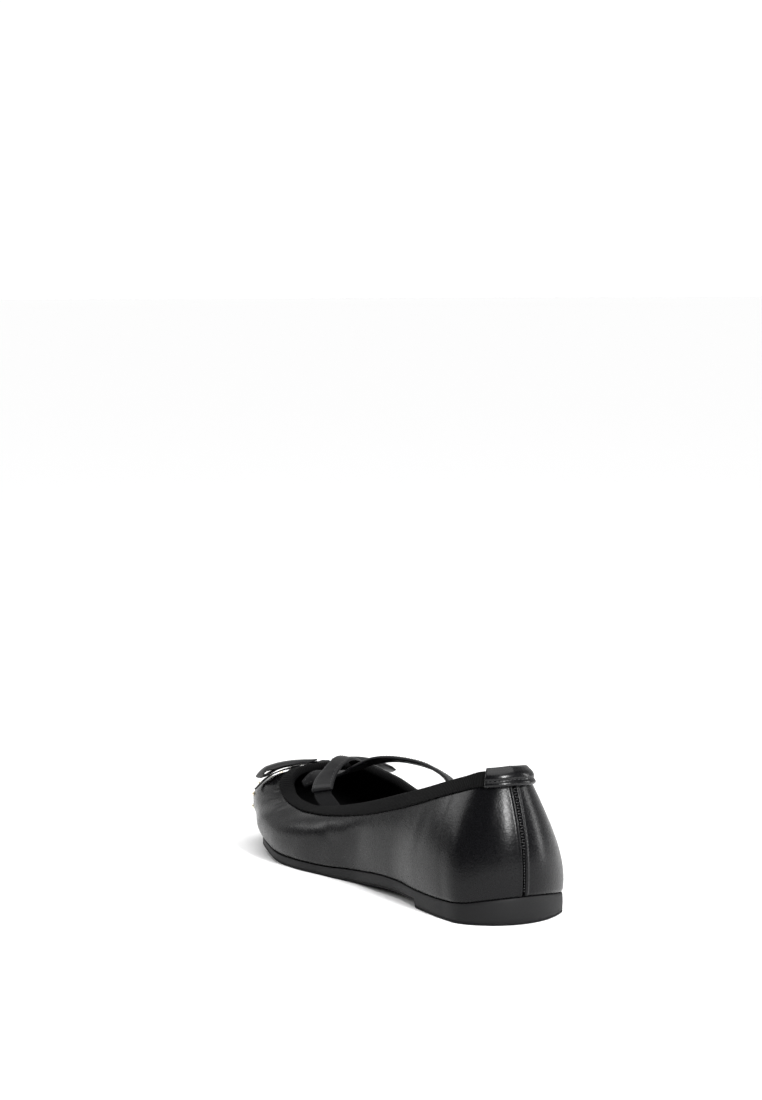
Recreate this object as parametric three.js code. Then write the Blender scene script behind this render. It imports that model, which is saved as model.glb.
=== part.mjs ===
import * as THREE from 'three';
import { mergeVertices } from 'three/addons/utils/BufferGeometryUtils.js';

// A right ballet flat in millimetres: +X from heel to toe, +Y to the inner side, +Z up from the floor.
// The back of the heel is at x = 0 until the group moves the heel's middle to the origin.
const shoeLength = 250;
const heelWidth = 58;
const ballWidth = 81;
const heelLength = 53;
const heelLift = 12.6;
const archRise = 3.1;
const toeSpring = 7.4;
const breastSlope = 1.2;
const treadBevel = 0.8;
const seatBack = 29;

const backHeight = 68.1;
const sideHeight = 29.7;
const throatHeight = 42.5;
const backSet = 13;
const vampLength = 46;
const collarWidth = 54;
const upperWall = 1.6;
const fitGap = 0.3;

const insoleThickness = 2;
const bindingHeight = 6.5;
const bindingInside = 7.5;
const bindingThickness = 0.9;
const tabLength = 27;
const tabHeight = 8.8;
const tabThickness = 1.2;

const strapWidth = 10.5;
const strapThickness = 1.8;
const elasticWidth = 8.5;
const elasticThickness = 1.2;
const strapPeak = 54;
const strapGrip = 0.12;
const strapTaper = 0.6;
const strapAnchor = 7;
const throatDrop = 1.5;
const frontEnds = {
  from: { u: 0.313, clear: 0.3, grip: true },
  to: { u: 0.552, clear: 1.5, grip: false },
};
const rearEnds = {
  from: { u: 0.431, clear: 1.5, grip: false },
  to: { u: 0.762, clear: 2.3, grip: true },
};
const elasticShare = 0.22;
const elasticTuck = 0.08;

const bowLoop = 36;
const bowTail = 38;
const bowTurn = 8;
const bowSweep = 4;
const bowAside = -5;
const bowDroop = 7;
const droopPower = 4;
const tailAhead = 3;
const bowRibbon = 14;
const bowThickness = 0.9;
const bowHeight = 2.4;
const bowSet = 10.5;
const knotLength = 8;
const knotWidth = 5;
const knotHeight = 3.3;

const studDiameter = 2.4;
const studHeight = 1.1;
const studCount = 13;
const studMargin = 1.2;
const studLine = 0.91;
const studSide = 0.2;

const leatherBlack = { color: 0x17171a, roughness: 0.42, metalness: 0 };
const soleBlack = { color: 0x1b1b1d, roughness: 0.72, metalness: 0 };
const liningBlack = { color: 0x141416, roughness: 0.85, metalness: 0 };
const tapeBlack = { color: 0x121214, roughness: 0.8, metalness: 0 };
const paleGold = { color: 0xd8c9a4, roughness: 0.3, metalness: 0.9 };

// Plan of the sole edge: half widths at shares of the length, as shares of the heel's or ball's width
const soleRows = [
  { at: 0.05, inner: 0.418, outer: 0.468, of: heelWidth },
  { at: 0.11, inner: 0.474, outer: 0.536, of: heelWidth },
  { at: 0.21, inner: 0.474, outer: 0.545, of: heelWidth },
  { at: 0.32, inner: 0.448, outer: 0.569, of: heelWidth },
  { at: 0.44, inner: 0.34, outer: 0.45, of: ballWidth },
  { at: 0.55, inner: 0.407, outer: 0.512, of: ballWidth },
  { at: 0.64, inner: 0.469, outer: 0.531, of: ballWidth },
  { at: 0.74, inner: 0.475, outer: 0.494, of: ballWidth },
  { at: 0.82, inner: 0.42, outer: 0.395, of: ballWidth },
  { at: 0.9, inner: 0.29, outer: 0.272, of: ballWidth },
];
const heelRound = 0.52 * heelWidth;
const toeRound = 0.25 * ballWidth;

// Height of the sole's top edge, as shares of the heel lift, and of its tread above the floor
const featherRows = [
  { at: 0, rise: 1 },
  { at: 0.02, rise: 0.9 },
  { at: 0.05, rise: 0.76 },
  { at: 0.1, rise: 0.69 },
  { at: 0.2, rise: 0.66 },
  { at: 0.34, rise: 0.69 },
  { at: 0.47, rise: 0.5 },
  { at: 0.58, rise: 0.365 },
  { at: 0.68, rise: 0.365 },
  { at: 0.79, rise: 0.54 },
  { at: 0.92, rise: 0.84 },
  { at: 1, rise: 0.98 },
];
const treadRows = [
  { at: 0.2, arch: 1, spring: 0 },
  { at: 0.34, arch: 0.85, spring: 0 },
  { at: 0.46, arch: 0.2, spring: 0 },
  { at: 0.53, arch: 0, spring: 0 },
  { at: 0.68, arch: 0, spring: 0 },
  { at: 0.79, arch: 0, spring: 0.36 },
  { at: 0.9, arch: 0, spring: 0.7 },
  { at: 1, arch: 0, spring: 1 },
];

// Plan of the topline at shares of its own length, as shares of the collar's width
const collarRows = [
  { at: 0.031, inner: 0.213, outer: 0.213, of: collarWidth },
  { at: 0.136, inner: 0.333, outer: 0.343, of: collarWidth },
  { at: 0.293, inner: 0.407, outer: 0.435, of: collarWidth },
  { at: 0.503, inner: 0.454, outer: 0.5, of: collarWidth },
  { at: 0.712, inner: 0.491, outer: 0.546, of: collarWidth },
  { at: 0.859, inner: 0.487, outer: 0.51, of: collarWidth },
  { at: 0.927, inner: 0.444, outer: 0.426, of: collarWidth },
  { at: 0.969, inner: 0.37, outer: 0.352, of: collarWidth },
];
const collarBackRound = 0.4 * collarWidth;
const throatRound = 0.72 * collarWidth;

// Height of the topline round each side, from the back at 0 to the throat's middle at 1
const innerTopRows = [
  { at: 0, rear: 1, front: 0 },
  { at: 0.106, rear: 0.97, front: 0 },
  { at: 0.176, rear: 0.885, front: 0 },
  { at: 0.232, rear: 0.8, front: 0 },
  { at: 0.298, rear: 0.675, front: 0 },
  { at: 0.392, rear: 0.482, front: 0 },
  { at: 0.487, rear: 0.281, front: 0 },
  { at: 0.577, rear: 0.12, front: 0 },
  { at: 0.621, rear: 0.057, front: 0 },
  { at: 0.691, rear: 0, front: 0 },
  { at: 0.743, rear: 0, front: 0.03 },
  { at: 0.8, rear: 0, front: 0.13 },
  { at: 0.845, rear: 0, front: 0.36 },
  { at: 0.88, rear: 0, front: 0.72 },
  { at: 0.915, rear: 0, front: 0.94 },
  { at: 0.95, rear: 0, front: 1 },
  { at: 1, rear: 0, front: 1 },
];
const outerTopRows = [
  { at: 0, rear: 1, front: 0 },
  { at: 0.106, rear: 0.97, front: 0 },
  { at: 0.176, rear: 0.885, front: 0 },
  { at: 0.232, rear: 0.8, front: 0 },
  { at: 0.298, rear: 0.675, front: 0 },
  { at: 0.392, rear: 0.48, front: 0 },
  { at: 0.487, rear: 0.28, front: 0 },
  { at: 0.577, rear: 0.135, front: 0 },
  { at: 0.64, rear: 0.06, front: 0.05 },
  { at: 0.69, rear: 0.03, front: 0.18 },
  { at: 0.75, rear: 0, front: 0.5 },
  { at: 0.811, rear: 0, front: 0.72 },
  { at: 0.85, rear: 0, front: 0.84 },
  { at: 0.9, rear: 0, front: 0.98 },
  { at: 1, rear: 0, front: 1 },
];

// Wall sections round each side: two handles of a cubic from the sole's edge to the topline.
// The lower one stands out and up, the upper one leans out and drops. The way out is in ball widths
// and the way up in wall heights.
const wallRows = [
  { at: 0, bulge: 0.03, rise: 0.3, lean: 0.135, drop: 0.36 },
  { at: 0.2, bulge: 0.035, rise: 0.3, lean: 0.13, drop: 0.36 },
  { at: 0.4, bulge: 0.03, rise: 0.32, lean: 0.07, drop: 0.34 },
  { at: 0.55, bulge: 0.05, rise: 0.4, lean: 0.09, drop: 0.24 },
  { at: 0.7, bulge: 0.105, rise: 0.56, lean: 0.13, drop: 0.1 },
  { at: 0.82, bulge: 0.18, rise: 0.62, lean: 0.17, drop: 0.05 },
  { at: 0.92, bulge: 0.165, rise: 0.62, lean: 0.2, drop: 0.15 },
  { at: 1, bulge: 0.1, rise: 0.62, lean: 0.21, drop: 0.2 },
];

// Straps over the instep: centre lines between two anchors, aside in spans of the strap, and up
// from the height of the sides to the peak
const frontStrapRows = [
  { along: 0.245, aside: 0.132, up: 0.28 },
  { along: 0.356, aside: 0.153, up: 0.37 },
  { along: 0.464, aside: 0.154, up: 0.48 },
  { along: 0.554, aside: 0.132, up: 0.6 },
  { along: 0.627, aside: 0.097, up: 0.715 },
  { along: 0.71, aside: 0.062, up: 0.78 },
  { along: 0.81, aside: 0.034, up: 0.74 },
  { along: 0.91, aside: 0.01, up: 0.64 },
];
const rearStrapRows = [
  { along: 0.053, aside: 0.046, up: 0.4 },
  { along: 0.124, aside: 0.096, up: 0.45 },
  { along: 0.18, aside: 0.125, up: 0.5 },
  { along: 0.262, aside: 0.14, up: 0.66 },
  { along: 0.348, aside: 0.146, up: 0.8 },
  { along: 0.466, aside: 0.13, up: 0.9 },
  { along: 0.597, aside: 0.111, up: 0.93 },
  { along: 0.73, aside: 0.092, up: 0.9 },
  { along: 0.833, aside: 0.06, up: 0.84 },
  { along: 0.932, aside: 0.022, up: 0.72 },
];

// Bow: the loop's band in shares of its length and height, from the knot out and back, and the tail
const loopRows = [
  { out: 0.13, up: 0.74, wide: 0.42 },
  { out: 0.3, up: 0.96, wide: 0.7 },
  { out: 0.52, up: 1.12, wide: 0.95 },
  { out: 0.76, up: 1.08, wide: 1 },
  { out: 0.93, up: 0.84, wide: 0.94 },
  { out: 1, up: 0.5, wide: 0.9 },
  { out: 0.94, up: 0.18, wide: 0.9 },
  { out: 0.76, up: 0.16, wide: 0.94 },
  { out: 0.52, up: 0.18, wide: 0.9 },
  { out: 0.3, up: 0.18, wide: 0.66 },
  { out: 0.13, up: 0.18, wide: 0.42 },
];
const tailRows = [
  { out: 0.12, up: -0.42, wide: 0.36 },
  { out: 0.3, up: -0.42, wide: 0.56 },
  { out: 0.55, up: -0.42, wide: 0.7 },
  { out: 0.8, up: -0.8, wide: 0.56 },
  { out: 1, up: -1.48, wide: 0.14 },
];

const collarLength = shoeLength - vampLength - backSet;
const turns = 76;
const wallSteps = 7;
const edgeDepths = [0, bindingHeight / 2, bindingHeight, bindingInside, tabHeight].sort((m, n) => m - n);

// Monotone cubic through the rows of a table
function through(rows, key, place = (row) => row.at) {
  const xs = rows.map(place);
  const ys = rows.map((row) => row[key]);
  const last = xs.length - 1;
  const step = xs.slice(1).map((x, i) => x - xs[i]);
  const slope = step.map((h, i) => (ys[i + 1] - ys[i]) / h);
  const tangent = ys.map((_, i) => {
    if (i === 0) return slope[0];
    if (i === last) return slope[last - 1];
    if (slope[i - 1] * slope[i] <= 0) return 0;
    const before = 2 * step[i] + step[i - 1];
    const after = step[i] + 2 * step[i - 1];
    return (before + after) / (before / slope[i - 1] + after / slope[i]);
  });
  return (x) => {
    if (x <= xs[0]) return ys[0];
    if (x >= xs[last]) return ys[last];
    const i = xs.findIndex((edge) => x < edge) - 1;
    const h = step[i];
    const s = (x - xs[i]) / h;
    const rest = 1 - s;
    return (1 + 2 * s) * rest * rest * ys[i] + s * rest * rest * h * tangent[i]
      + s * s * (3 - 2 * s) * ys[i + 1] - s * s * rest * h * tangent[i + 1];
  };
}

// Closed plan curve: x runs as a cosine from start over length, y is the half width of each side.
// u goes once round, from the back along the inner side to the front and back along the outer side.
function planCurve(rows, start, length, backRound, frontRound) {
  const half = {};
  for (const side of ['inner', 'outer']) {
    const spread = rows.map((row) => {
      const turn = Math.acos(1 - 2 * row.at);
      return { turn, width: row[side] * row.of / Math.sin(turn) };
    });
    spread.unshift({ turn: 0, width: Math.sqrt(backRound * length / 2) });
    spread.push({ turn: Math.PI, width: Math.sqrt(frontRound * length / 2) });
    half[side] = through(spread, 'width', (row) => row.turn);
  }
  return (u) => {
    const round = 2 * Math.PI * (u - Math.floor(u));
    const turn = round <= Math.PI ? round : 2 * Math.PI - round;
    const width = (round <= Math.PI ? half.inner : half.outer)(turn);
    return new THREE.Vector2(start + length * (1 - Math.cos(turn)) / 2, width * Math.sin(round));
  };
}

// Outward normal of a plan curve that runs with its inside on the right
function planNormal(curve, u) {
  const ahead = curve(u + 0.002).sub(curve(u - 0.002)).normalize();
  return new THREE.Vector2(-ahead.y, ahead.x);
}

const soleEdge = planCurve(soleRows, 0, shoeLength, heelRound, toeRound);
const collarEdge = planCurve(collarRows, backSet, collarLength, collarBackRound, throatRound);
const featherRise = through(featherRows, 'rise');
const treadArch = through(treadRows, 'arch');
const treadSpring = through(treadRows, 'spring');
const featherHeight = (x) => heelLift * featherRise(x / shoeLength);

function treadHeight(x) {
  const waist = archRise * treadArch(x / shoeLength) + toeSpring * treadSpring(x / shoeLength);
  return x < heelLength + breastSlope / 2 ? 0 : waist;
}

const topCurves = {
  inner: [through(innerTopRows, 'rear'), through(innerTopRows, 'front')],
  outer: [through(outerTopRows, 'rear'), through(outerTopRows, 'front')],
};

function collarHeight(u) {
  const at = 1 - Math.abs(1 - 2 * (u - Math.floor(u)));
  const [rear, front] = u - Math.floor(u) <= 0.5 ? topCurves.inner : topCurves.outer;
  return sideHeight + (backHeight - sideHeight) * rear(at) + (throatHeight - sideHeight) * front(at);
}

const wallCurves = ['bulge', 'rise', 'lean', 'drop'].map((key) => through(wallRows, key));

// The upper's outer surface as a cubic at one turn u, walked by its length
function wallLine(u) {
  const low = soleEdge(u);
  const high = collarEdge(u);
  const lowOut = planNormal(soleEdge, u);
  const highOut = planNormal(collarEdge, u);
  const floor = featherHeight(low.x) + fitGap;
  const top = collarHeight(u);
  const at = 1 - Math.abs(1 - 2 * (u - Math.floor(u)));
  const [bulge, rise, lean, drop] = wallCurves.map((curve) => curve(at));
  const corner = (plan, out, reach, z) => new THREE.Vector3(
    plan.x + out.x * reach, plan.y + out.y * reach, z);
  return new THREE.CubicBezierCurve3(
    corner(low, lowOut, 0, floor),
    corner(low, lowOut, bulge * ballWidth, floor + rise * (top - floor)),
    corner(high, highOut, lean * ballWidth, top - drop * (top - floor)),
    corner(high, highOut, 0, top));
}

// Frame of the wall at turn u and v up from the sole: the point and the outward normal
function wallFrame(u, v) {
  const near = 0.004;
  const lines = [wallLine(u - near), wallLine(u), wallLine(u + near)];
  const point = lines[1].getPointAt(v);
  const along = lines[2].getPointAt(v).sub(lines[0].getPointAt(v));
  const up = lines[1].getPointAt(Math.min(1, v + near)).sub(lines[1].getPointAt(Math.max(0, v - near)));
  const normal = up.cross(along).normalize();
  if (v === 0) normal.setZ(0).normalize();
  return { point, normal };
}

// A point off the wall: depth below the topline along the wall, off outwards from its outer face
function wallPoint(u, depth, off) {
  const v = 1 - depth / wallLine(u).getLength();
  const { point, normal } = wallFrame(u, Math.max(0, v));
  return point.addScaledVector(normal, off);
}

// Closed solid from rows of points: rings that close round, or open rows with capped ends
function gridSolid(rows, { roundRows = true, roundRing = true } = {}) {
  const wide = rows[0].length;
  const tall = rows.length;
  const points = rows.flat();
  const faces = [];
  const put = (a, b, c) => faces.push(a, b, c);
  for (let i = 0; i < (roundRows ? tall : tall - 1); i += 1) {
    for (let j = 0; j < (roundRing ? wide : wide - 1); j += 1) {
      const a = i * wide + j;
      const b = i * wide + (j + 1) % wide;
      const c = ((i + 1) % tall) * wide + (j + 1) % wide;
      const d = ((i + 1) % tall) * wide + j;
      put(a, b, c);
      put(a, c, d);
    }
  }
  if (!roundRows) {
    const end = (tall - 1) * wide;
    for (let j = 0; j + 1 < wide - 2 - j; j += 1) {
      const [a, b, c, d] = [j, j + 1, wide - 2 - j, wide - 1 - j];
      put(a, c, b);
      put(a, d, c);
      put(end + a, end + b, end + c);
      put(end + a, end + c, end + d);
    }
  }
  return solid(points, faces);
}

// Merges shared corners, drops faces without area and turns the whole solid outwards
function solid(points, faces) {
  const geometry = new THREE.BufferGeometry().setFromPoints(points);
  geometry.setIndex(faces);
  const merged = mergeVertices(geometry, 1e-3);
  const spots = merged.getAttribute('position');
  const corners = [];
  const index = merged.getIndex().array;
  const [a, b, c] = [new THREE.Vector3(), new THREE.Vector3(), new THREE.Vector3()];
  let volume = 0;
  for (let i = 0; i < index.length; i += 3) {
    const [p, q, r] = [index[i], index[i + 1], index[i + 2]];
    if (p === q || q === r || r === p) continue;
    corners.push(p, q, r);
    volume += a.fromBufferAttribute(spots, p).dot(
      b.fromBufferAttribute(spots, q).cross(c.fromBufferAttribute(spots, r)));
  }
  if (volume < 0) corners.reverse();
  merged.setIndex(corners);
  merged.computeVertexNormals();
  return merged;
}

// Flat pad with the sole's plan: inset from its edge, between two height functions of x
function padSolid(inset, top, bottom, bevel) {
  const half = turns / 2;
  const blunt = 3;
  const stations = [];
  for (let i = 0; i <= half; i += 1) stations.push(i / turns);
  const breast = [heelLength, heelLength + breastSlope].map(
    (x) => Math.acos(1 - 2 * x / shoeLength) / (2 * Math.PI));
  const clear = stations.filter((u) => breast.every((edge) => Math.abs(u - edge) > 0.25 / turns));
  const us = [...clear, ...breast].sort((m, n) => m - n);
  const last = us.length - 1;
  const spot = (u, more) => soleEdge(u).addScaledVector(planNormal(soleEdge, u), -inset - more);
  const points = [];
  const ring = (u) => {
    const edge = spot(u, 0);
    const foot = spot(u, bevel);
    const base = bottom(soleEdge(u).x);
    points.push(new THREE.Vector3(edge.x, edge.y, top(edge.x)));
    points.push(new THREE.Vector3(edge.x, edge.y, base + bevel));
    points.push(new THREE.Vector3(foot.x, foot.y, base));
    return points.length - 3;
  };
  const inner = us.map((u) => ring(u));
  const outer = us.map((u, i) => (i === 0 || i === last ? inner[i] : ring(1 - u)));
  const middle = us.slice(blunt, last - blunt + 1).map((u) => {
    const { x } = soleEdge(u);
    points.push(new THREE.Vector3(x, 0, top(x)), new THREE.Vector3(x, 0, bottom(x)));
    return points.length - 2;
  });
  const spine = us.map((u, i) => middle[Math.min(Math.max(i - blunt, 0), middle.length - 1)]);
  const faces = [];
  const quad = (a, b, c, d) => faces.push(a, b, c, a, c, d);
  for (let i = 0; i < last; i += 1) {
    const sides = [[inner[i], inner[i + 1]], [outer[i + 1], outer[i]]];
    const middles = [[spine[i], spine[i + 1]], [spine[i + 1], spine[i]]];
    sides.forEach(([from, to], k) => {
      const [near, far] = middles[k];
      quad(from, to, far, near);
      quad(from + 1, to + 1, to, from);
      quad(from + 2, to + 2, to + 1, from + 1);
      quad(near + 1, far + 1, to + 2, from + 2);
    });
  }
  return solid(points, faces);
}

// Depths of the wall's sections at turn u: even steps from the sole, then the edges of binding and tab
function wallDepths(u) {
  const whole = wallLine(u).getLength();
  const deepest = edgeDepths[edgeDepths.length - 1];
  const even = Array.from({ length: wallSteps }, (_, j) => whole - (whole - deepest) * j / wallSteps);
  return [...even, ...edgeDepths.toReversed()];
}

// The hollow upper: outer face up, then the same sections down on the inside of the wall
function upperSolid() {
  const rings = [];
  for (let i = 0; i < turns; i += 1) {
    const u = i / turns;
    const outside = [];
    const inside = [];
    for (const depth of wallDepths(u)) {
      const { point, normal } = wallFrame(u, 1 - depth / wallLine(u).getLength());
      const back = point.clone().addScaledVector(normal, -upperWall);
      if (outside.length === 0) back.setZ(featherHeight(back.x) + fitGap);
      outside.push(point);
      inside.unshift(back);
    }
    rings.push([...outside, ...inside]);
  }
  return gridSolid(rings);
}

// Piece folded over the topline round the turns us: an outside leg, the fold and an inside leg.
// It lies off the wall by clear, and at the foot of its outside leg it closes to fitGap.
function foldSolid({ us, closed, outside, inside, clear, thickness }) {
  const outer = clear + thickness;
  const inFace = -upperWall - clear;
  const legs = edgeDepths.slice(1);
  const down = legs.filter((depth) => depth <= inside);
  const up = legs.filter((depth) => depth < outside).toReversed();
  const rings = us.map((u) => {
    const top = wallFrame(u, 1);
    const over = wallDirection(u).cross(top.normal).normalize();
    const rim = (off, rise) => top.point.clone().addScaledVector(top.normal, off)
      .addScaledVector(over, rise);
    return [
      wallPoint(u, outside, fitGap), ...up.map((depth) => wallPoint(u, depth, clear)),
      rim(clear, clear), rim(inFace, clear), ...down.map((depth) => wallPoint(u, depth, inFace)),
      ...down.toReversed().map((depth) => wallPoint(u, depth, inFace - thickness)),
      rim(inFace - thickness, clear), rim(inFace - thickness * 0.3, outer),
      rim(outer - thickness * 0.7, outer), rim(outer, clear),
      ...up.toReversed().map((depth) => wallPoint(u, depth, outer)),
      wallPoint(u, outside, fitGap + thickness),
    ];
  });
  return gridSolid(rings, { roundRows: closed });
}

// Direction along the topline at turn u
function wallDirection(u) {
  return wallLine(u + 0.004).getPointAt(1).sub(wallLine(u - 0.004).getPointAt(1)).normalize();
}

// Band carried along a smooth centre line, its face turned towards the normals given
function bandSolid(spots, faces, widths, thickness, steps) {
  const line = new THREE.CatmullRomCurve3(spots, false, 'centripetal');
  const last = spots.length - 1;
  const rings = [];
  for (let i = 0; i <= steps; i += 1) {
    const share = i / steps;
    const place = Math.min(share * last, last - 1e-6);
    const k = Math.floor(place);
    const point = line.getPoint(share);
    const along = line.getTangent(share);
    const face = faces[k].clone().lerp(faces[k + 1], place - k);
    face.addScaledVector(along, -face.dot(along)).normalize();
    const side = along.clone().cross(face);
    const wide = (widths[k] + (widths[k + 1] - widths[k]) * (place - k)) / 2;
    const put = (across, up) => point.clone().addScaledVector(side, across).addScaledVector(face, up);
    const flat = thickness * 0.28;
    rings.push([
      put(-wide + flat, thickness / 2), put(wide - flat, thickness / 2), put(wide, 0),
      put(wide - flat, -thickness / 2), put(-wide + flat, -thickness / 2), put(-wide, 0),
    ]);
  }
  return gridSolid(rings, { roundRows: false });
}

// End of a strap inside the wall, clear of the binding's inside leg: at a side of the collar two
// spots, one level with the topline and one a grip below it, and in the throat one spot just below it
function anchorSpots({ u, clear, grip }) {
  const off = upperWall + bindingThickness + 2 * fitGap + clear + strapThickness / 2;
  if (grip) return [wallPoint(u, strapAnchor, -off), wallPoint(u, 0, -off)];
  const plan = collarEdge(u).addScaledVector(planNormal(collarEdge, u), -off);
  return [new THREE.Vector3(plan.x, plan.y, collarHeight(u) - throatDrop)];
}

// Centre line of a strap from one anchor to the other, over the instep
function strapLine({ from, to }, rows) {
  const start = anchorSpots(from);
  const end = anchorSpots(to).toReversed();
  const [low, high] = [start[start.length - 1], end[0]];
  const chord = high.clone().sub(low).setZ(0);
  const aside = new THREE.Vector3(-chord.y, chord.x, 0);
  const arch = rows.map((row) => low.clone().lerp(high, row.along)
    .addScaledVector(aside, row.aside).setZ(sideHeight + row.up * (strapPeak - sideHeight)));
  return new THREE.CatmullRomCurve3([...start, ...arch, ...end], false, 'centripetal');
}

// Outward face of a strap at a share of its line: the wall's normal at its anchors, and between
// them straight away from the middle of the foot
function strapFace({ from, to }, share, spot) {
  const face = new THREE.Vector3(0, spot.y, spot.z - heelLift).normalize();
  for (const [end, hold] of [[from, 1 - share / strapGrip], [to, 1 - (1 - share) / strapGrip]]) {
    if (hold > 0) face.lerp(wallFrame(end.u, 1).normal, Math.min(1, 2 * hold));
  }
  return face.normalize();
}

const group = new THREE.Group();
group.position.x = -seatBack;

function add(name, geometry, finish) {
  const mesh = new THREE.Mesh(geometry, new THREE.MeshStandardMaterial(finish));
  mesh.name = name;
  group.add(mesh);
}

function addSole() {
  add('outsole', padSolid(0, featherHeight, treadHeight, treadBevel), soleBlack);
  const bed = (x) => featherHeight(x) + fitGap;
  const inset = upperWall + 2 * fitGap;
  add('insole', padSolid(inset, (x) => bed(x) + insoleThickness, bed, 0), liningBlack);
}

function addUpper() {
  add('upper', upperSolid(), leatherBlack);
  add('topline_binding', foldSolid({
    us: Array.from({ length: turns }, (_, i) => i / turns), closed: true,
    outside: bindingHeight, inside: bindingInside, clear: fitGap, thickness: bindingThickness,
  }), tapeBlack);
}

// The heel tab is centred on the back seam and wraps over the binding
function addTab() {
  const near = 0.002;
  const reach = tabLength * near / collarEdge(near).distanceTo(collarEdge(-near));
  const whole = Math.ceil(reach * turns - 0.2) - 1;
  const between = Array.from({ length: 2 * whole + 1 }, (_, i) => (i - whole) / turns);
  add('heel_tab', foldSolid({
    us: [-reach, ...between, reach], closed: false, outside: tabHeight, inside: tabHeight,
    clear: bindingThickness + 2 * fitGap, thickness: tabThickness,
  }), leatherBlack);
}

// Spots, faces and widths of a strap's part, from share to share of its line. It sinks to drop
// under the line, and narrows by taper towards an anchor in the throat.
function strapPart({ ends, rows, from, to, count, drop, width }) {
  const line = strapLine(ends, rows);
  const shares = Array.from({ length: count }, (_, i) => from + (to - from) * i / (count - 1));
  const faces = shares.map((share) => strapFace(ends, share, line.getPoint(share)));
  const spots = shares.map((share, i) => line.getPoint(share)
    .addScaledVector(faces[i], -drop * Math.min(1, 2 * (share - from) / (to - from))));
  const narrow = (share) => {
    const away = ends.to.grip ? share : 1 - share;
    return 1 - strapTaper * Math.max(0, 1 - away / strapGrip);
  };
  return { spots, faces, widths: shares.map((share) => width * narrow(share)) };
}

// The front strap runs from an elastic inside the inner collar to the outer throat corner,
// and the rear strap crosses under it, from the inner throat corner to the outer collar
function addStraps() {
  const front = { ends: frontEnds, rows: frontStrapRows, drop: 0, width: strapWidth };
  const rear = { ends: rearEnds, rows: rearStrapRows, drop: 0, width: strapWidth };
  const under = (strapThickness + elasticThickness) / 2 + fitGap;
  const parts = [
    ['front_strap', { ...front, from: elasticShare, to: 1, count: 17 }, strapThickness, leatherBlack],
    ['front_strap_elastic', { ...front, from: 0, to: elasticShare + elasticTuck, count: 8, drop: under,
      width: elasticWidth }, elasticThickness, tapeBlack],
    ['rear_strap', { ...rear, from: 0, to: 1, count: 25 }, strapThickness, leatherBlack],
  ];
  for (const [name, part, thickness, finish] of parts) {
    const { spots, faces, widths } = strapPart(part);
    add(name, bandSolid(spots, faces, widths, thickness, part.count + 3), finish);
  }
}

// The bow lies on the vamp in front of the throat: two loops, two tails and the knot.
// Both sides droop with a power of the way out from the knot.
function addBow() {
  const seat = wallPoint(0.5, bowSet, fitGap + knotHeight / 2);
  seat.y += bowAside;
  const face = wallFrame(0.5, 1 - bowSet / wallLine(0.5).getLength()).normal;
  const ahead = new THREE.Vector3(0, 1, 0).cross(face);
  for (const [side, way] of [['inner', 1], ['outer', -1]]) {
    const turn = (bowTurn * way - bowSweep) * Math.PI / 180;
    const out = new THREE.Vector3(Math.sin(turn), way * Math.cos(turn), 0);
    const place = (row, length) => seat.clone().addScaledVector(out, row.out * length)
      .addScaledVector(face, row.up * bowHeight - bowDroop * row.out ** droopPower);
    const loop = loopRows.map((row) => place(row, bowLoop));
    const loopFaces = loop.map((spot, i) => {
      const along = loop[Math.min(loop.length - 1, i + 1)].clone().sub(loop[Math.max(0, i - 1)]);
      return along.cross(face.clone().cross(out)).normalize();
    });
    add(`bow_loop_${side}`, bandSolid(loop, loopFaces, loopRows.map((row) => row.wide * bowRibbon),
      bowThickness, 24), leatherBlack);
    const tail = tailRows.map(
      (row) => place(row, bowTail).addScaledVector(ahead, tailAhead * row.out));
    const tailWidths = tailRows.map((row) => row.wide * bowRibbon);
    const tailBand = bandSolid(tail, tail.map(() => face), tailWidths, bowThickness, 8);
    add(`bow_tail_${side}`, tailBand, leatherBlack);
  }
  add('bow_knot', roundSolid(new THREE.SphereGeometry(0.5, 14, 10)
    .scale(knotWidth, knotLength, knotHeight).translate(seat.x, seat.y, seat.z)), leatherBlack);
}

// Closed solid of a round three.js shape, with its seams merged
function roundSolid(shape) {
  const ring = shape.getAttribute('position');
  const points = Array.from({ length: ring.count },
    (_, k) => new THREE.Vector3().fromBufferAttribute(ring, k));
  return solid(points, Array.from(shape.getIndex().array));
}

// Round studs on an arch across the toe, where the wall crosses one plane over the length
function addStuds() {
  const plane = studLine * shoeLength;
  const spots = [];
  for (let i = 1; i < 120; i += 1) {
    const u = 0.38 + 0.24 * i / 120;
    let low = 0;
    let high = 1;
    if (wallFrame(u, 0).point.x < plane) continue;
    for (let k = 0; k < 18; k += 1) {
      const v = (low + high) / 2;
      if (wallLine(u).getPointAt(v).x > plane) low = v;
      else high = v;
    }
    if (low > studSide) spots.push({ u, v: low, point: wallLine(u).getPointAt(low) });
  }
  const walked = [0];
  spots.slice(1).forEach((spot, i) => walked.push(walked[i] + spot.point.distanceTo(spots[i].point)));
  const whole = walked[walked.length - 1];
  const dome = [[0, 0], [0.5, 0], [0.46, 0.45], [0.27, 0.85], [0, 1]].map(
    ([r, h]) => new THREE.Vector2(r * studDiameter, h * studHeight));
  for (let i = 0; i < studCount; i += 1) {
    const place = studMargin + (whole - 2 * studMargin) * i / (studCount - 1);
    const { u, v } = spots[walked.findIndex((length) => length >= place - 1e-6)];
    const { point, normal } = wallFrame(u, v);
    const base = point.addScaledVector(normal, fitGap);
    const turn = new THREE.Quaternion().setFromUnitVectors(new THREE.Vector3(0, 1, 0), normal);
    const stud = new THREE.LatheGeometry(dome, 10).applyQuaternion(turn)
      .translate(base.x, base.y, base.z);
    add(`stud_${String(i + 1).padStart(2, '0')}`, roundSolid(stud), paleGold);
  }
}

addSole();
addUpper();
addTab();
addStraps();
addBow();
addStuds();

export default group;
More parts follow.
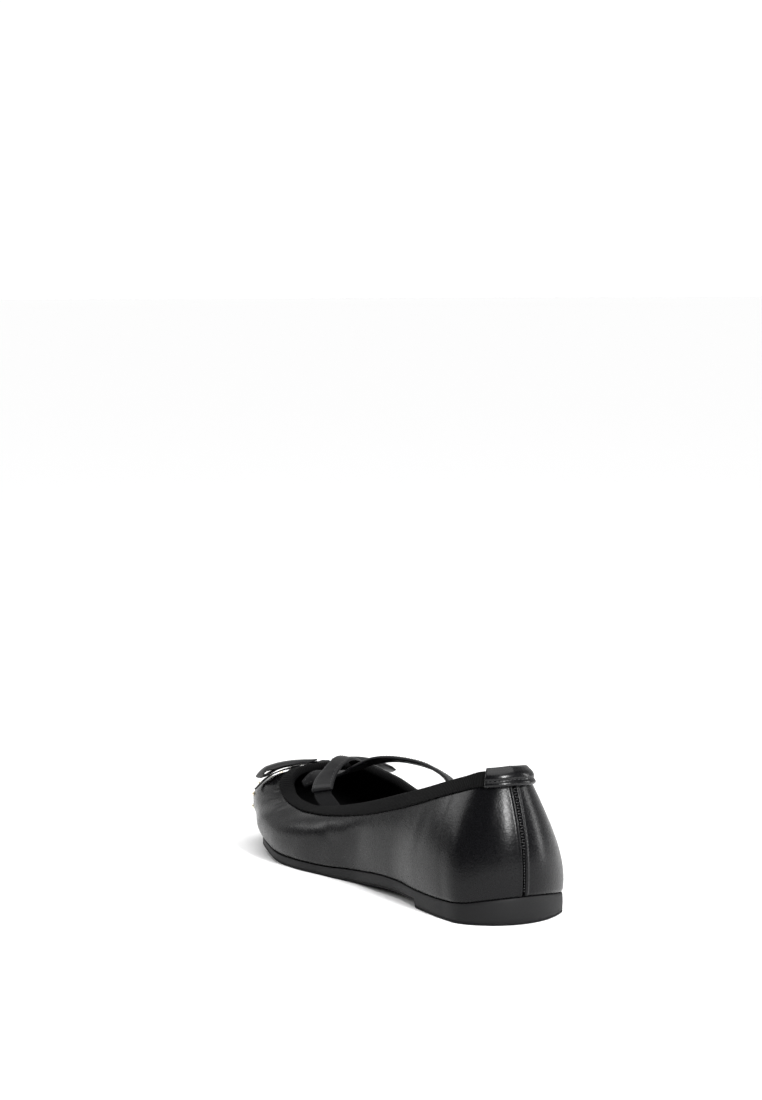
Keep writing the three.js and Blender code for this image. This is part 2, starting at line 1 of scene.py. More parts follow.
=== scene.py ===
import math

import bmesh
import bpy
import numpy as np
from mathutils import Matrix, Vector


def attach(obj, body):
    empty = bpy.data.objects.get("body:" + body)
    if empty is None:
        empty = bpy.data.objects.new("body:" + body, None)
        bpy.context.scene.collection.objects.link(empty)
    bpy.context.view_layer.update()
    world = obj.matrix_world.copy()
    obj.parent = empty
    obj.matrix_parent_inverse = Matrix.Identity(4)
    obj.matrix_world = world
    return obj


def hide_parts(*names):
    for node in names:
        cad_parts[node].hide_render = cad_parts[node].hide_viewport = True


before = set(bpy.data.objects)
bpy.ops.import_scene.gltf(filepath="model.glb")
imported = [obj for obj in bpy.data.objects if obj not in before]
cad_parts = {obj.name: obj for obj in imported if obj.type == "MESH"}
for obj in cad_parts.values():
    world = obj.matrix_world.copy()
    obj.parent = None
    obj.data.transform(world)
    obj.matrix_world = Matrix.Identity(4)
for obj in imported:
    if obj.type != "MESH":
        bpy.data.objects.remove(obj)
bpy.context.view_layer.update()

# Sizes of the shoe in millimetres: x from the back of the heel to the toe, y to the inner side, z up
shoe = {
    "length": 250, "heelWidth": 58, "ballWidth": 81, "heelLength": 53, "heelLift": 12.6,
    "archRise": 3.1, "toeSpring": 7.4, "breastSlope": 1.2, "treadBevel": 0.8, "seatBack": 29,
    "backHeight": 68.1, "sideHeight": 29.7, "throatHeight": 42.5, "backSet": 13, "vampLength": 46,
    "collarWidth": 54, "wall": 1.6, "gap": 0.3,
}

# Half widths of the sole at shares of its length, as shares of the heel's or the ball's width
soleRows = {
    "at": [0.05, 0.11, 0.21, 0.32, 0.44, 0.55, 0.64, 0.74, 0.82, 0.9],
    "inner": [0.418, 0.474, 0.474, 0.448, 0.34, 0.407, 0.469, 0.475, 0.42, 0.29],
    "outer": [0.468, 0.536, 0.545, 0.569, 0.45, 0.512, 0.531, 0.494, 0.395, 0.272],
    "of": [58, 58, 58, 58, 81, 81, 81, 81, 81, 81],
}
collarRows = {
    "at": [0.031, 0.136, 0.293, 0.503, 0.712, 0.859, 0.927, 0.969],
    "inner": [0.213, 0.333, 0.407, 0.454, 0.491, 0.487, 0.444, 0.37],
    "outer": [0.213, 0.343, 0.435, 0.5, 0.546, 0.51, 0.426, 0.352],
    "of": [54] * 8,
}
featherRows = {
    "at": [0, 0.02, 0.05, 0.1, 0.2, 0.34, 0.47, 0.58, 0.68, 0.79, 0.92, 1],
    "rise": [1, 0.9, 0.76, 0.69, 0.66, 0.69, 0.5, 0.365, 0.365, 0.54, 0.84, 0.98],
}
treadRows = {
    "at": [0.2, 0.34, 0.46, 0.53, 0.68, 0.79, 0.9, 1],
    "arch": [1, 0.85, 0.2, 0, 0, 0, 0, 0],
    "spring": [0, 0, 0, 0, 0, 0.36, 0.7, 1],
}
# Height of the topline from the back (0) to the middle of the throat (1)
innerTopRows = {
    "at": [0, 0.106, 0.176, 0.232, 0.298, 0.392, 0.487, 0.577, 0.621, 0.691, 0.743, 0.8, 0.845, 0.88, 0.915, 0.95, 1],
    "rear": [1, 0.97, 0.885, 0.8, 0.675, 0.482, 0.281, 0.12, 0.057, 0, 0, 0, 0, 0, 0, 0, 0],
    "front": [0, 0, 0, 0, 0, 0, 0, 0, 0, 0, 0.03, 0.13, 0.36, 0.72, 0.94, 1, 1],
}
outerTopRows = {
    "at": [0, 0.106, 0.176, 0.232, 0.298, 0.392, 0.487, 0.577, 0.64, 0.69, 0.75, 0.811, 0.85, 0.9, 1],
    "rear": [1, 0.97, 0.885, 0.8, 0.675, 0.48, 0.28, 0.135, 0.06, 0.03, 0, 0, 0, 0, 0],
    "front": [0, 0, 0, 0, 0, 0, 0, 0, 0.05, 0.18, 0.5, 0.72, 0.84, 0.98, 1],
}
# Sections of the wall: the lower handle stands out and up, the upper one leans out and drops
wallRows = {
    "at": [0, 0.2, 0.4, 0.55, 0.7, 0.82, 0.92, 1],
    "bulge": [0.03, 0.035, 0.03, 0.05, 0.105, 0.18, 0.165, 0.1],
    "rise": [0.3, 0.3, 0.32, 0.4, 0.56, 0.62, 0.62, 0.62],
    "lean": [0.135, 0.13, 0.07, 0.09, 0.13, 0.17, 0.2, 0.21],
    "drop": [0.36, 0.36, 0.34, 0.24, 0.1, 0.05, 0.15, 0.2],
}


# Monotone cubic through points: each slope is the weighted harmonic mean of its neighbours
def throughPoints(x, y):
    x, y = np.asarray(x, float), np.asarray(y, float)
    step = np.diff(x)
    slope = np.diff(y) / step
    before, after = 2 * step[1:] + step[:-1], step[1:] + 2 * step[:-1]
    rising = slope[:-1] * slope[1:] > 0
    tangent = np.r_[slope[0], np.zeros(len(x) - 2), slope[-1]]
    mean = (before + after)[rising] / (before[rising] / slope[:-1][rising] + after[rising] / slope[1:][rising])
    tangent[1:-1][rising] = mean

    def at(q):
        q = np.clip(q, x[0], x[-1])
        i = np.clip(np.searchsorted(x, q, side="right") - 1, 0, len(x) - 2)
        h = step[i]
        s = (q - x[i]) / h
        r = 1 - s
        return ((1 + 2 * s) * r * r * y[i] + s * r * r * h * tangent[i]
                + s * s * (3 - 2 * s) * y[i + 1] - s * s * r * h * tangent[i + 1])
    return at


# Closed plan: x is a cosine of the turn, y is the half width times its sine; u runs once round
# from the back along the inner side to the front and back along the outer side
def planCurve(rows, start, length, backRound, frontRound):
    turnAt = np.arccos(1 - 2 * np.array(rows["at"]))
    ends = [math.sqrt(r * length / 2) for r in (backRound, frontRound)]
    widths = [throughPoints(np.r_[0, turnAt, math.pi],
                            np.r_[ends[0], np.array(rows[side]) * rows["of"] / np.sin(turnAt), ends[1]])
              for side in ("inner", "outer")]

    def at(u):
        full = 2 * math.pi * (u - np.floor(u))
        turn = np.where(full <= math.pi, full, 2 * math.pi - full)
        width = np.where(full <= math.pi, widths[0](turn), widths[1](turn))
        return np.stack([start + length * (1 - np.cos(turn)) / 2, width * np.sin(full)], -1)
    return at


collarLength = shoe["length"] - shoe["vampLength"] - shoe["backSet"]
soleEdge = planCurve(soleRows, 0, shoe["length"], 0.52 * shoe["heelWidth"], 0.25 * shoe["ballWidth"])
collarEdge = planCurve(collarRows, shoe["backSet"], collarLength, 0.4 * shoe["collarWidth"], 0.72 * shoe["collarWidth"])
featherRise = throughPoints(featherRows["at"], featherRows["rise"])
treadArch = throughPoints(treadRows["at"], treadRows["arch"])
treadSpring = throughPoints(treadRows["at"], treadRows["spring"])
topCurves = [[throughPoints(rows["at"], rows[key]) for key in ("rear", "front")] for rows in (innerTopRows, outerTopRows)]
wallCurves = [throughPoints(wallRows["at"], wallRows[key]) for key in ("bulge", "rise", "lean", "drop")]


def unit(v):
    return v / np.maximum(np.linalg.norm(v, axis=-1, keepdims=True), 1e-9)


# Outward normal in plan: the direction of travel turned a quarter to the left
def planNormal(curve, u):
    ahead = unit(curve(u + 0.002) - curve(u - 0.002))
    return np.stack([-ahead[..., 1], ahead[..., 0]], -1)


def featherHeight(x):
    return shoe["heelLift"] * featherRise(x / shoe["length"])


def treadHeight(x):
    waist = shoe["archRise"] * treadArch(x / shoe["length"]) + shoe["toeSpring"] * treadSpring(x / shoe["length"])
    breast = np.clip((x - shoe["heelLength"]) / shoe["breastSlope"], 0, 1)
    return waist * np.where(x < 0.3 * shoe["length"], breast, 1)


def halfTurn(u):
    return 1 - np.abs(1 - 2 * (u - np.floor(u)))


def collarHeight(u):
    at = halfTurn(u)
    inner = (u - np.floor(u)) <= 0.5
    rear = np.where(inner, topCurves[0][0](at), topCurves[1][0](at))
    front = np.where(inner, topCurves[0][1](at), topCurves[1][1](at))
    return (shoe["sideHeight"] + (shoe["backHeight"] - shoe["sideHeight"]) * rear
            + (shoe["throatHeight"] - shoe["sideHeight"]) * front)


# Cubic section of the wall at each turn u: its four control points
def wallControls(u):
    low, high = soleEdge(u), collarEdge(u)
    lowOut, highOut = planNormal(soleEdge, u), planNormal(collarEdge, u)
    floor = featherHeight(low[..., 0]) + shoe["gap"]
    top = collarHeight(u)
    bulge, rise, lean, drop = [curve(halfTurn(u)) for curve in wallCurves]
    side = [low, low + lowOut * (bulge * shoe["ballWidth"])[..., None],
            high + highOut * (lean * shoe["ballWidth"])[..., None], high]
    up = [floor, floor + rise * (top - floor), top - drop * (top - floor), top]
    return np.stack([np.concatenate([s, z[..., None]], -1) for s, z in zip(side, up)], -2)


def bernstein(s):
    r = 1 - s
    return np.stack([r ** 3, 3 * s * r * r, 3 * s * s * r, s ** 3], -1)


# Points of the wall at turns us (n) and shares vs (n, m) of each section's own length, sole to topline
def wallPoints(us, vs):
    controls = wallControls(us)
    samples = np.linspace(0, 1, 81)
    line = np.einsum("sk,nkd->nsd", bernstein(samples), controls)
    walked = np.concatenate([np.zeros((len(us), 1)), np.cumsum(np.linalg.norm(np.diff(line, axis=1), axis=2), 1)], 1)
    target = np.clip(vs, 0, 1) * walked[:, -1:]
    i = np.clip((walked[:, None, :] <= target[:, :, None]).sum(2) - 1, 0, len(samples) - 2)
    rowsAt = np.arange(len(us))[:, None]
    part = (target - walked[rowsAt, i]) / np.maximum(walked[rowsAt, i + 1] - walked[rowsAt, i], 1e-9)
    s = samples[i] + part * samples[1]
    return np.einsum("nmk,nkd->nmd", bernstein(s), controls), walked[:, -1]


# Points and outward normals: the normal is the cross product of the way up and the way along
def wallFrames(us, vs):
    near = 0.004
    points, lengths = wallPoints(us, vs)
    along = wallPoints(us + near, vs)[0] - wallPoints(us - near, vs)[0]
    up = wallPoints(us, np.minimum(1, vs + near))[0] - wallPoints(us, np.maximum(0, vs - near))[0]
    return points, unit(np.cross(up, along)), lengths


# Point off the wall at depth below the topline
def offWall(u, depth, off):
    us = np.array([float(u)])
    length = wallPoints(us, np.array([[1.0]]))[1][0]
    points, normals, _ = wallFrames(us, np.array([[max(0, 1 - depth / length)]]))
    return points[0, 0] + off * normals[0, 0]


def wallNormal(u):
    return wallFrames(np.array([float(u)]), np.array([[1.0]]))[1][0, 0]


# Mesh from a grid of points in millimetres; uvs has one more row and column where the grid closes
def gridPiece(name, points, closeRows, closeColumns, mats, uvs=None, slots=None, caps=False, merge=False):
    rows, columns = points.shape[:2]
    i = np.arange(rows if closeRows else rows - 1)[:, None]
    j = np.arange(columns if closeColumns else columns - 1)[None, :]
    corners = [(i, j), (i, j + 1), (i + 1, j + 1), (i + 1, j)]
    corners = [np.broadcast_arrays(a, b) for a, b in corners]
    faces = np.stack([(a % rows) * columns + b % columns for a, b in corners], -1).reshape(-1, 4)
    flat = points.reshape(-1, 3)
    a, b, c, d = [flat[faces[:, k]] for k in range(4)]
    volume = np.einsum("nd,nd->n", a, np.cross(b, c)).sum() + np.einsum("nd,nd->n", a, np.cross(c, d)).sum()
    if caps:
        ends = [np.einsum("nd,d->", np.cross(points[k], np.roll(points[k], -1, 0)), points[k].mean(0)) for k in (0, -1)]
        volume += ends[1] - ends[0]
    loops = faces if volume > 0 else faces[:, ::-1]
    polygons = loops.tolist()
    if caps:
        ends = [list(range(columns)), [(rows - 1) * columns + k for k in range(columns)]]
        polygons += [ends[0][::-1], ends[1]] if volume > 0 else [ends[0], ends[1][::-1]]
    placed = (flat - [shoe["seatBack"], 0, 0]) / 1000
    mesh = bpy.data.meshes.new(name)
    mesh.from_pydata(placed.tolist(), [], polygons)
    for mat in mats:
        mesh.materials.append(mat)
    if slots is not None:
        slot = np.broadcast_to(slots, (len(i), j.shape[1])).reshape(-1)
        mesh.polygons.foreach_set("material_index", np.r_[slot, np.zeros(len(polygons) - len(slot))].astype(np.int32))
    if uvs is not None:
        spread = np.stack([uvs[a, b] for a, b in corners], 2).reshape(-1, 4, 2)
        spread = spread if volume > 0 else spread[:, ::-1]
        extra = np.zeros((2 * columns if caps else 0, 2))
        layer = mesh.uv_layers.new(name="run")
        layer.data.foreach_set("uv", np.concatenate([spread.reshape(-1, 2), extra]).astype(np.float32).ravel())
    mesh.polygons.foreach_set("use_smooth", np.ones(len(polygons), bool))
    if merge:
        joined = bmesh.new()
        joined.from_mesh(mesh)
        bmesh.ops.remove_doubles(joined, verts=joined.verts, dist=0.000002)
        joined.to_mesh(mesh)
        joined.free()
    mesh.validate()
    mesh.update()
    piece = bpy.data.objects.new(name, mesh)
    bpy.context.scene.collection.objects.link(piece)
    return piece


def finishPiece(piece, slot, *nodes):
    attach(piece, "root")
    if nodes:
        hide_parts(*nodes)
    return piece


# Material with a plain shader; sockets are set on the shader itself
def newMaterial(name, **sockets):
    mat = bpy.data.materials.new(name)
    mat.use_nodes = True
    shader = mat.node_tree.nodes["Principled BSDF"]
    for key, value in sockets.items():
        shader.inputs[key.replace("_", " ")].default_value = value
    return mat, mat.node_tree, shader


def addNode(tree, kind, inputs=None, **settings):
    node = tree.nodes.new(kind)
    for key, value in settings.items():
        setattr(node, key, value)
    for key, value in (inputs or {}).items():
        if isinstance(value, bpy.types.NodeSocket):
            tree.links.new(value, node.inputs[key])
        else:
            node.inputs[key].default_value = value
    return node


def bumpFrom(tree, shader, height, strength, distance, before=None):
    bump = addNode(tree, "ShaderNodeBump", {"Height": height, "Strength": strength, "Distance": distance})
    if before is not None:
        tree.links.new(before.outputs["Normal"], bump.inputs["Normal"])
    tree.links.new(bump.outputs["Normal"], shader.inputs["Normal"])
    return bump


def rampFrom(tree, value, low, high, start=0.3, stop=0.7):
    return addNode(tree, "ShaderNodeMapRange", {"Value": value, "From Min": start, "From Max": stop,
                                                 "To Min": low, "To Max": high}).outputs["Result"]


leather = {"color": (0.003, 0.003, 0.0035, 1), "specular": 0.15, "roughness": (0.23, 0.31), "grain": 1400, "grainDepth": 0.00004,
           "wave": 120, "waveDepth": 0.0001, "coat": 0.02, "coatRoughness": 0.2}


# Coated leather: fine cells for the grain, slow noise for the hide, and gloss that varies with it
def makeLeather(name, look, gloss=0.0):
    mat, tree, shader = newMaterial(name, Base_Color=look["color"], Coat_Weight=look["coat"],
                                    Coat_Roughness=look["coatRoughness"], Specular_IOR_Level=look["specular"])
    place = addNode(tree, "ShaderNodeTexCoord").outputs["Object"]
    cells = addNode(tree, "ShaderNodeTexVoronoi", {"Vector": place, "Scale": look["grain"]}, feature="SMOOTH_F1")
    hide = addNode(tree, "ShaderNodeTexNoise", {"Vector": place, "Scale": look["wave"], "Detail": 3})
    fine = addNode(tree, "ShaderNodeTexNoise", {"Vector": place, "Scale": look["grain"] * 0.4, "Detail": 4})
    low, high = look["roughness"]
    rough = rampFrom(tree, fine.outputs["Fac"], low - gloss, high - gloss)
    tree.links.new(rough, shader.inputs["Roughness"])
    slow = bumpFrom(tree, shader, hide.outputs["Fac"], 1, look["waveDepth"])
    bumpFrom(tree, shader, cells.outputs["Distance"], 1, look["grainDepth"], slow)
    return mat


soleLook = {"color": (0.006, 0.006, 0.0065, 1), "roughness": (0.52, 0.66), "speckle": 2600, "speckleDepth": 0.00004}


# Moulded sole: matt, with a fine speckle in its roughness and its bump
def makeSole(name, look):
    mat, tree, shader = newMaterial(name, Base_Color=look["color"], Specular_IOR_Level=0.2)
    place = addNode(tree, "ShaderNodeTexCoord").outputs["Object"]
    speckle = addNode(tree, "ShaderNodeTexNoise", {"Vector": place, "Scale": look["speckle"], "Detail": 2})
    tree.links.new(rampFrom(tree, speckle.outputs["Fac"], *look["roughness"]), shader.inputs["Roughness"])
    bumpFrom(tree, shader, speckle.outputs["Fac"], 1, look["speckleDepth"])
    return mat


tapeLook = {"color": (0.0025, 0.0025, 0.0028, 1), "ribs": 520, "ribDepth": 0.0003}


# Ribbed tape: ribs across the run of the piece, from the sine of its length, and a fuzzy weave. Its colour goes
# near-black in the rib troughs, painted shade between the ribs
def makeRibbed(name, look):
    mat, tree, shader = newMaterial(name, Base_Color=look["color"], Roughness=0.85, Specular_IOR_Level=0.1)
    run = addNode(tree, "ShaderNodeUVMap", uv_map="run").outputs["UV"]
    ribs = addNode(tree, "ShaderNodeTexWave", {"Vector": run, "Scale": look["ribs"] / 20, "Distortion": 0.6,
                                                "Detail": 1, "Detail Scale": 3}, bands_direction="X")
    place = addNode(tree, "ShaderNodeTexCoord").outputs["Object"]
    fuzz = addNode(tree, "ShaderNodeTexNoise", {"Vector": place, "Scale": 2200, "Detail": 3})
    weave = bumpFrom(tree, shader, ribs.outputs["Fac"], 1, look["ribDepth"])
    # Painted shade: the colour darkens from the tape's own towards near-black in the troughs between the ribs
    shade = addNode(tree, "ShaderNodeMix", {"Factor": ribs.outputs["Fac"], "A": (0.001, 0.001, 0.001, 1), "B": look["color"]},
                    data_type="RGBA")
    tree.links.new(shade.outputs["Result"], shader.inputs["Base Color"])
    bumpFrom(tree, shader, fuzz.outputs["Fac"], 1, 0.00008, weave)
    return mat


liningLook = {"color": (0.006, 0.006, 0.0065, 1), "cloth": 1600}


# Lining cloth: a fine crossed weave from two waves of the object's own place
def makeLining(name, look):
    mat, tree, shader = newMaterial(name, Base_Color=look["color"], Roughness=0.9, Specular_IOR_Level=0.2)
    place = addNode(tree, "ShaderNodeTexCoord").outputs["Object"]
    across = addNode(tree, "ShaderNodeTexWave", {"Vector": place, "Scale": look["cloth"] / 6, "Distortion": 0.4}, bands_direction="X")
    along = addNode(tree, "ShaderNodeTexWave", {"Vector": place, "Scale": look["cloth"] / 6, "Distortion": 0.4}, bands_direction="Y")
    first = bumpFrom(tree, shader, across.outputs["Fac"], 1, 0.00006)
    bumpFrom(tree, shader, along.outputs["Fac"], 1, 0.00006, first)
    return mat


print("materials")
upperLeather = makeLeather("upperLeather", leather)
strapLeather = makeLeather("strapLeather", {**leather, "grain": 1800, "roughness": (0.42, 0.52), "coat": 0.0})
# Near-black and nearly unreflective: painted shade for the back seam's trough
seamPaintedShade = newMaterial("seamPaintedShade", Base_Color=(0.0008, 0.0008, 0.0009, 1), Roughness=0.9,
                        Specular_IOR_Level=0.03)[0]
tabLeather = makeLeather("tabLeather", {**leather, "roughness": (0.24, 0.32), "coat": 0.2})
bowRibbon = makeLeather("bowRibbon", {**leather, "roughness": (0.34, 0.46), "color": (0.004, 0.004, 0.0045, 1)})
soleRubber = makeSole("soleRubber", soleLook)
# Half as light as the sole and matter: the darker colour is painted shade for the shadowed bevel band along the sole's
# bottom edge
treadRubberPaintedShade = makeSole("treadRubberPaintedShade", {**soleLook, "color": (0.003, 0.003, 0.0035, 1), "roughness": (0.75, 0.9)})
toplineTape = makeRibbed("toplineTape", tapeLook)
elasticTape = makeRibbed("elasticTape", {**tapeLook, "color": (0.012, 0.012, 0.013, 1), "ribs": 700})
liningCloth = makeLining("liningCloth", liningLook)
blackThread = newMaterial("blackThread", Base_Color=(0.016, 0.016, 0.017, 1), Roughness=0.55)[0]
waxedThread = newMaterial("waxedThread", Base_Color=(0.01, 0.01, 0.011, 1), Roughness=0.3)[0]
paleGold = newMaterial("paleGold", Base_Color=(0.87, 0.78, 0.6, 1), Metallic=1.0, Roughness=0.22)[0]

# Creases of the upper: each runs from one spot to another, spots being the turn u and the depth
# below the topline; width is its half width and lift its height (below 0 a trough), in millimetres
upperCreases = [
    {"from": (0.137, 9), "to": (0.146, 30), "width": 3.2, "lift": -0.08},
    {"from": (0.15, 8), "to": (0.157, 26), "width": 3, "lift": 0.06},
    {"from": (0.106, 8), "to": (0.115, 24), "width": 3, "lift": -0.14},
    {"from": (0.372, 8), "to": (0.362, 20), "width": 1.4, "lift": -0.18},
    {"from": (0.385, 7.5), "to": (0.38, 17), "width": 1.3, "lift": 0.16},
    {"from": (0.397, 7.5), "to": (0.395, 18), "width": 1.3, "lift": -0.2},
    {"from": (0.41, 7.5), "to": (0.412, 17), "width": 1.4, "lift": 0.14},
    {"from": (0.425, 7.5), "to": (0.43, 16), "width": 1.4, "lift": -0.16},
    {"from": (0.29, 12), "to": (0.262, 26), "width": 5.5, "lift": -0.25},
    {"from": (0.24, 16), "to": (0.225, 34), "width": 6, "lift": -0.28},
    {"from": (0.58, 8), "to": (0.585, 20), "width": 1.5, "lift": -0.35},
    {"from": (0.6, 8), "to": (0.607, 20), "width": 1.6, "lift": 0.3},
    {"from": (0.72, 14), "to": (0.74, 28), "width": 5, "lift": -0.4},
    {"from": (0.86, 9), "to": (0.852, 26), "width": 3.2, "lift": -0.45},
    {"from": (0.035, 10), "to": (0.04, 26), "width": 4, "lift": 0.3},
]
backSeam = {"trough": 1.1, "halfWidth": 0.68, "lips": 0.46, "lipAt": 1.5, "lipWidth": 0.75}
upperGrid = {"turns": 560, "rise": 96, "inside": 26, "gather": 0.72}


# Relief on the wall: every crease is its lift times a bell across it and a soft fade at its ends
def creaseRelief(u, depth, girth):
    relief = np.zeros_like(depth)
    for crease in upperCreases:
        (u0, d0), (u1, d1) = crease["from"], crease["to"]
        share = np.clip((depth - d0) / (d1 - d0), -0.4, 1.4)
        middle = u0 + (u1 - u0) * share
        away = (((u - middle + 0.5) % 1) - 0.5) * girth
        fade = 1 / (1 + np.exp(-12 * (0.5 - np.abs(share - 0.5))))
        relief += crease["lift"] * np.exp(-(away / crease["width"]) ** 2) * fade
    return relief


# The back seam: a narrow trough with a raised lip on each side, by the distance from it
def seamRelief(away, depth):
    lips = np.exp(-((np.abs(away) - backSeam["lipAt"]) / backSeam["lipWidth"]) ** 2)
    return backSeam["lips"] * lips - backSeam["trough"] * np.exp(-(away / backSeam["halfWidth"]) ** 2)


def addUpper():
    even = np.arange(upperGrid["turns"]) / upperGrid["turns"]
    us = even - upperGrid["gather"] * np.sin(2 * math.pi * even) / (2 * math.pi)
    vs = np.broadcast_to(np.linspace(0, 1, upperGrid["rise"]), (len(us), upperGrid["rise"]))
    points, normals, lengths = wallFrames(us, vs)
    depth = (1 - vs) * lengths[:, None]
    steps = np.linalg.norm(np.roll(points, -1, 0) - points, axis=2)
    walked = np.cumsum(steps, 0) - steps
    girth = steps.sum(0)[None, :]
    away = np.where(us[:, None] < 0.5, walked, walked - girth)
    relief = creaseRelief(us[:, None], depth, girth) + seamRelief(away, depth)
    tuck = -0.35 * np.exp(-((lengths[:, None] - depth) / 0.9) ** 2)
    outside = points + normals * (relief + tuck)[..., None]
    down = np.linspace(1, 0, upperGrid["inside"])[None, :] * np.ones((len(us), 1))
    inPoints, inNormals, _ = wallFrames(us, down)
    inside = inPoints - inNormals * shoe["wall"]
    inside[:, -1, 2] = featherHeight(inside[:, -1, 0]) + shoe["gap"]
    rings = np.concatenate([outside, inside], 1)
    # Faces within the seam's trough take the third material, painted shade in the trough
    seam = np.where(np.abs(away) < backSeam["halfWidth"], 2, 0)
    slots = np.concatenate([seam, np.ones_like(down, dtype=int)], 1)
    piece = gridPiece("upperShell", rings, True, True, [upperLeather, liningCloth, seamPaintedShade], slots=slots)
    return finishPiece(piece, "upper_leather", "upper")


# Sole: rings round its edge, from the middle of the top over the edge to the middle of the tread
soleRing = {"turns": 640, "featherRound": 0.5, "crown": 0.25, "treadLine": 1.3, "lineDepth": 0.25}


def addSole():
    half = np.arange(soleRing["turns"] // 2 + 1) / soleRing["turns"]
    breast = np.arccos(1 - 2 * (shoe["heelLength"] + np.array([-0.05, 0, 0.5, 1, 1.05]) * shoe["breastSlope"]) / shoe["length"]) / (2 * math.pi)
    side = np.unique(np.r_[half, breast])
    us = np.r_[side, 1 - side[-2:0:-1]]
    edge, out = soleEdge(us), planNormal(soleEdge, us)
    x = edge[:, 0]
    top, low = featherHeight(x), treadHeight(x)
    tall = top - low
    spine = np.stack([np.clip(x, 14, shoe["length"] - 12), np.zeros_like(x)], -1)
    rows = []
    for share in (0, 0.35, 0.7, 0.92):
        rows.append((spine + (edge - spine) * share, top - 0.15))
    r, line, cut = soleRing["featherRound"], soleRing["treadLine"], soleRing["lineDepth"]
    profile = [(r * 1.5, top - 0.15), (r, top - 0.1), (r * 0.4, top - 0.22), (0.05, top - r)]
    for share in np.linspace(0.12, 0.88, 7):
        height = top - r + (low + line + 0.4 - top + r) * share
        profile.append((0.05 - soleRing["crown"] * 4 * share * (1 - share) * tall / tall.max(), height))
    profile += [(0.04, low + line + 0.3), (cut, low + line + 0.12), (cut, low + line - 0.1), (0.02, low + line - 0.3),
                (0.02, low + 0.8), (0.12, low + 0.45), (0.5, low + 0.12), (1.1, low), (2.4, low)]
    ring = [(edge - out * np.broadcast_to(inset, x.shape)[:, None], z) for inset, z in profile]
    for share in (0.9, 0.7, 0.45, 0.2, 0):
        ring.append((spine + (edge - spine) * share, low))
    points = np.stack([np.concatenate([plan, np.broadcast_to(z, x.shape)[:, None]], 1) for plan, z in rows + ring], 1)
    # From the bottom of the tread line's groove down over the bevel and the tread, faces take the darker rubber:
    # painted shade along the bottom edge
    first = len(rows) + len(profile) - 7
    slots = (np.arange(points.shape[1] - 1) >= first).astype(int)
    piece = gridPiece("outsolePiece", points, True, False, [soleRubber, treadRubberPaintedShade], slots=slots[None, :],
                      merge=True)
    return finishPiece(piece, "sole", "outsole")


sockLook = {"inset": 2.2, "thick": 2.0, "round": 0.7}


def addInsole():
    us = np.arange(400) / 400
    edge, out = soleEdge(us), planNormal(soleEdge, us)
    spine = np.stack([np.clip(edge[:, 0], 16, shoe["length"] - 14), np.zeros(400)], -1)
    bed = featherHeight(edge[:, 0]) + shoe["gap"]
    high, r = bed + sockLook["thick"], sockLook["round"]
    rim = edge - out * sockLook["inset"]
    rows = [(spine + (rim - spine) * s, high) for s in (0, 0.3, 0.6, 0.85)]
    rows += [(rim - out * (r * (1 - math.sin(a))), high - r + r * math.cos(a)) for a in np.linspace(0, math.pi / 2, 5)]
    rows += [(rim, bed)] + [(spine + (rim - spine) * s, bed) for s in (0.8, 0.4, 0)]
    points = np.stack([np.concatenate([plan, z[:, None]], 1) for plan, z in rows], 1)
    piece = gridPiece("sockLining", points, True, False, [liningCloth], merge=True)
    return finishPiece(piece, "lining", "insole")


# Folded tape round the topline: a flat leg outside, a round fold and a leg inside. The section is given by depths below
# the topline and distances off the wall, and the outer leg's lower edge is drawn in to the wall.
tape = {"outside": 6.5, "inside": 7.5, "clear": 0.3, "thick": 0.9, "turns": 900}


# Rows of a folded section: up the outer face, round the fold, down the inner face and back under
def foldSection(outside, inside, clear, thick, swell):
    outer, inner = clear + thick, -shoe["wall"] - clear
    mid, half = (outer + inner - thick) / 2, (outer - inner + thick) / 2
    fold = [(-(clear + thick) * math.sin(a), mid + half * math.cos(a)) for a in np.linspace(0, math.pi, 9)]
    up = [(outside * (1 - s), outer + swell(s)) for s in np.linspace(0, 1, 15)[:-1]]
    down = [(inside * s, inner - thick) for s in np.linspace(0, 1, 6)[1:]]
    back = [(inside, inner - thick * 0.3), (inside * 0.6, inner), (0.2, inner), (-clear * 0.6, inner * 0.5),
            (0.2, clear), (outside * 0.6, clear), (outside, clear * 0.8)]
    return up + fold + down + back


def sweepFold(us, section):
    lengths = wallPoints(us, np.ones((len(us), 1)))[1]
    depths = np.array([row[0] for row in section])
    offs = np.array([row[1] for row in section])
    vs = 1 - np.maximum(depths, 0)[None, :] / lengths[:, None]
    points, normals, _ = wallFrames(us, vs)
    along = unit(wallPoints(us + 0.004, np.ones((len(us), 1)))[0] - wallPoints(us - 0.004, np.ones((len(us), 1)))[0])
    over = unit(np.cross(along, normals))
    return points + normals * offs[None, :, None] + over * np.maximum(-depths, 0)[None, :, None]


def addTape():
    us = np.arange(tape["turns"]) / tape["turns"]
    us = us - 0.5 * np.sin(4 * math.pi * us) / (4 * math.pi) * 0.4

    def swell(s):
        return -0.12 * np.exp(-((s - 0.16) / 0.05) ** 2) - 0.35 * np.exp(-(s / 0.05) ** 2)
    section = foldSection(tape["outside"], tape["inside"], tape["clear"], tape["thick"], swell)
    points = sweepFold(us, section)
    top = wallPoints(us, np.ones((len(us), 1)))[0][:, 0]
    walked = np.r_[0, np.cumsum(np.linalg.norm(np.diff(np.vstack([top, top[:1]]), axis=0), axis=1))]
    across = np.arange(len(section) + 1) * 0.7
    uvs = np.stack(np.broadcast_arrays(walked[:, None] / 100, across[None, :] / 100), -1)
    piece = gridPiece("toplineBinding", points, True, True, [toplineTape], uvs=uvs)
    return finishPiece(piece, "tape", "topline_binding")


# The tab is a puffed fold of leather: full above its stitch line, then a flat hem
heelTab = {"length": 25, "height": 7.6, "thick": 1.1, "stitch": 5, "puff": 0.8, "hem": 0.2}


